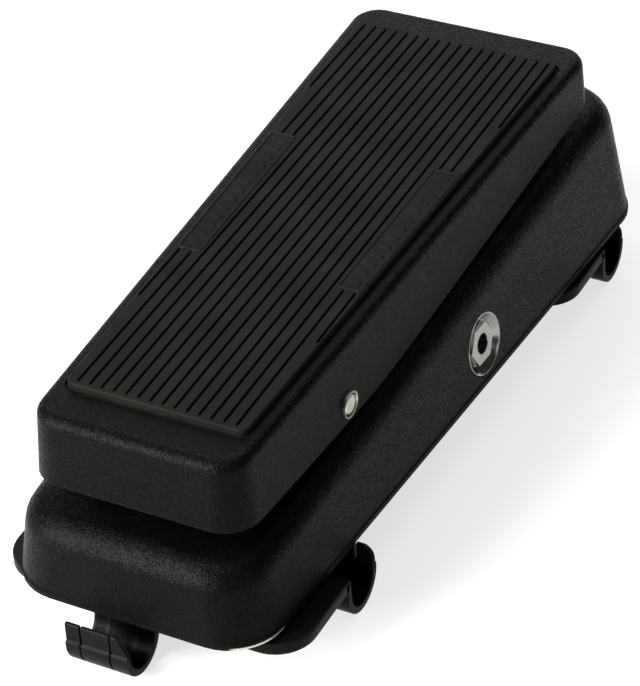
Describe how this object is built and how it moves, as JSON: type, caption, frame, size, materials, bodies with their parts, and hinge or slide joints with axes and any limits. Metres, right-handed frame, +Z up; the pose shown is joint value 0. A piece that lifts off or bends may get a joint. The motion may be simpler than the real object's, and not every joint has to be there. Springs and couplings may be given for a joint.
{
  "type": "guitar rocker pedal",
  "caption": "Rocker pedal in a wedge-shaped cast base with a ribbed treadle, rack-driven control, toe switch and side jacks, standing on two clip-on plastic board brackets with spring hooks.",
  "frame": {"origin": "centre of the overall box, at the level the hooks stand on", "axes": "+X to the player's right seen from the heel, +Y from heel to toe, +Z up"},
  "size_m": [0.1028, 0.259, 0.0807],
  "materials": {
    "powder": "textured black powder coat",
    "zinc": "zinc plated",
    "chrome": "polished",
    "rubber": "matte moulded",
    "moulded": "satin moulded",
    "nylon": "satin",
    "foam": "foam tape",
    "laminate": "solder mask",
    "wound": "sleeve",
    "cell": "printed wrap"
  },
  "bodies": {
    "base": {"adhesive_pad_heel": "foam", "adhesive_pad_toe": "foam", "base_casting": "powder", "battery": "cell", "battery_clip": "zinc", "board_screw_1": "zinc", "board_screw_2": "zinc", "bottom_plate": "zinc", "bracket_heel": "moulded", "bracket_toe": "moulded", "capacitor_large": "wound", "capacitor_small": "wound", "circuit_board": "laminate", "footswitch_body": "zinc", "footswitch_nut": "zinc", "heel_bumper_left": "rubber", "heel_bumper_right": "rubber", "hinge_bush_left": "nylon", "hinge_bush_right": "nylon", "inductor_can": "wound", "input_jack": "moulded", "input_jack_nut": "zinc", "input_jack_washer": "chrome", "output_jack": "moulded", "output_jack_nut": "zinc", "output_jack_washer": "chrome", "plate_screw_1": "zinc", "plate_screw_2": "zinc", "plate_screw_3": "zinc", "plate_screw_4": "zinc", "pot_body": "zinc", "pot_bracket": "zinc", "pot_nut": "zinc", "power_contact": "zinc", "power_socket": "moulded", "rack_guide": "moulded", "strap_screw_heel": "zinc", "strap_screw_toe": "zinc", "tension_strap": "zinc", "transistor": "moulded"},
    "treadle": {"treadle": "powder", "tread_mat": "rubber", "hinge_pin": "zinc", "rack_pin": "zinc", "switch_pad": "rubber"},
    "rack": {"rack_bar": "nylon"},
    "pinion": {"pot_shaft": "nylon"},
    "plunger": {"footswitch_plunger": "chrome"}
  },
  "joints": [
    {"name": "treadle_rock", "type": "hinge", "parent": "base", "child": "treadle", "pos_m": [0, -0.05395, 0.0544], "axis": [1, 0, 0], "range_deg": [-0.35, 7.8]},
    {"name": "rack_slide", "type": "slide", "parent": "base", "child": "rack", "axis": [0, 0, 1], "range_m": [-0.0008, 0.0096]},
    {"name": "pinion_turn", "type": "hinge", "parent": "base", "child": "pinion", "pos_m": [0, 0.0252, 0.0364], "axis": [1, 0, 0], "range_deg": [-78, 5]},
    {"name": "plunger_press", "type": "slide", "parent": "base", "child": "plunger", "axis": [0, 0, -1], "range_m": [0, 0.003], "stiffness_N_per_m": 1200}
  ],
  "couplings": [
    {"joint": "rack_slide", "follows": "treadle_rock", "m_per_rad": 0.06861},
    {"joint": "pinion_turn", "follows": "treadle_rock", "ratio": -9.8}
  ]
}
